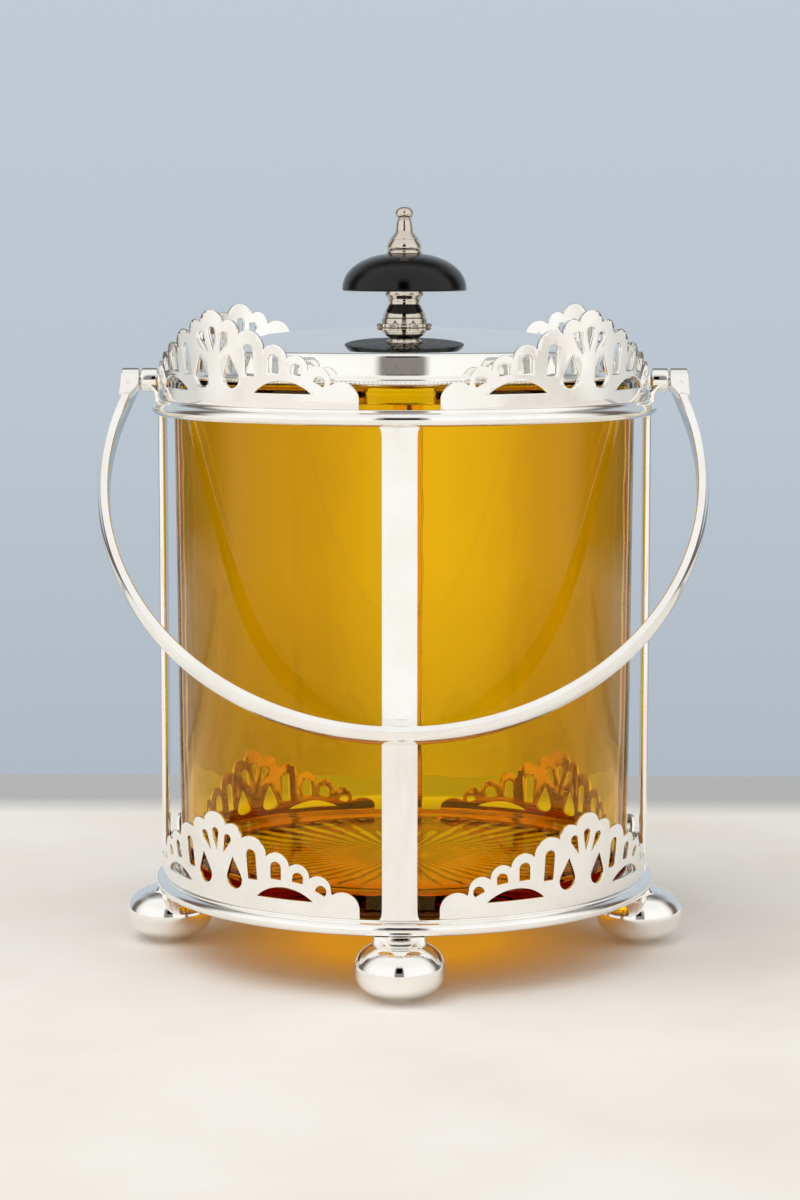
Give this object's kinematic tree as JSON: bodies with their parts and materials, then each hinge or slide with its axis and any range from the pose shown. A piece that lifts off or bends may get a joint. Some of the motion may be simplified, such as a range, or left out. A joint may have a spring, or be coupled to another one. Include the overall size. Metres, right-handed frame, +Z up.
{
  "type": "biscuit jar",
  "caption": "Biscuit jar: a round amber glass liner in a silver frame with pierced galleries and ball feet, with a swinging bow handle and a lift-off lid with a black mushroom knob.",
  "frame": {"origin": "on the table under the jar's centre, where the four feet stand", "axes": "+Z up along the jar's axis, -Y towards the front where the handle hangs, +X towards the right pivot"},
  "size_m": [0.1708, 0.162, 0.2126],
  "materials": {
    "silver_plate": "bright polished silver plate",
    "nickel_plate": "polished nickel plate, slightly warm",
    "amber_glass": "clear polished amber glass",
    "black_knob": "polished black phenolic resin"
  },
  "bodies": {
    "frame": {"upper_ring": "silver_plate", "lower_ring": "silver_plate", "post_front": "silver_plate", "post_right": "silver_plate", "post_back": "silver_plate", "post_left": "silver_plate", "upper_gallery_front_right": "silver_plate", "upper_gallery_back_right": "silver_plate", "upper_gallery_back_left": "silver_plate", "upper_gallery_front_left": "silver_plate", "lower_gallery_front_right": "silver_plate", "lower_gallery_back_right": "silver_plate", "lower_gallery_back_left": "silver_plate", "lower_gallery_front_left": "silver_plate", "foot_front": "silver_plate", "foot_right": "silver_plate", "foot_back": "silver_plate", "foot_left": "silver_plate", "pivot_lug_left": "silver_plate", "pivot_lug_right": "silver_plate", "pivot_pin_left": "silver_plate", "pivot_pin_right": "silver_plate"},
    "handle": {"bow": "silver_plate", "knuckle_left": "silver_plate", "knuckle_right": "silver_plate"},
    "liner": {"glass_liner": "amber_glass"},
    "lid": {"lid_dome": "silver_plate", "lid_bead_wire": "silver_plate", "lid_collar": "silver_plate", "knob_pedestal": "nickel_plate", "knob_knurl": "nickel_plate", "knob_mushroom": "black_knob", "knob_bead": "nickel_plate", "finial": "nickel_plate", "knob_stud": "nickel_plate", "lid_washer": "silver_plate", "lid_nut": "silver_plate"}
  },
  "joints": [
    {"name": "handle_swing", "type": "hinge", "parent": "frame", "child": "handle", "pos_m": [0, 0, 0.1636], "axis": [-1, 0, 0], "range_deg": [0, 281.4]},
    {"name": "liner_lift", "type": "slide", "parent": "frame", "child": "liner", "axis": [0, 0, 1], "range_m": [0, 0.17]},
    {"name": "lid_lift", "type": "slide", "parent": "liner", "child": "lid", "axis": [0, 0, 1], "range_m": [0, 0.06]}
  ]
}
